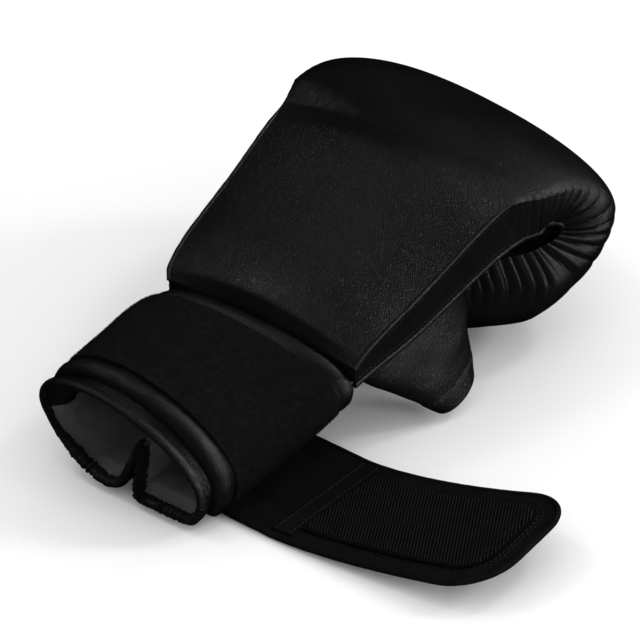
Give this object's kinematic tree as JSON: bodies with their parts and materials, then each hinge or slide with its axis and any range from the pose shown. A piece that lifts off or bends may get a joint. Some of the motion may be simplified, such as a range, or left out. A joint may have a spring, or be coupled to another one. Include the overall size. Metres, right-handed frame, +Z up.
{
  "type": "bag glove",
  "caption": "Padded leather bag glove for the left hand, with finger roll, thumb sleeve, lined cuff and open closing strap.",
  "frame": {"origin": "under the middle of the bounding box, on the surface that the glove lies on", "axes": "+Z up, +Y from the cuff towards the fingers, +X towards the thumb side and the strap's free end"},
  "size_m": [0.2698, 0.2986, 0.1128],
  "materials": {
    "leather": "satin black leather with a fine grain",
    "lining": "grey satin lining",
    "fastener": "black fuzzy loop and hook fastener",
    "webbing": "black woven strap, tape and binding"
  },
  "bodies": {
    "root": {"back_pad": "leather", "side_strip_thumb": "leather", "side_strip_outer": "leather", "palm_seam_thumb": "leather", "palm_seam_outer": "leather", "palm_panel": "leather", "thumb_sleeve": "leather", "cuff_pad": "leather", "loop_patch": "fastener", "cuff_rim": "leather", "palm_gusset": "leather", "cuff_lining": "lining", "cuff_binding": "webbing", "strap": "webbing", "strap_binding": "webbing", "strap_tape": "webbing", "hook_patch": "fastener"}
  },
  "joints": []
}
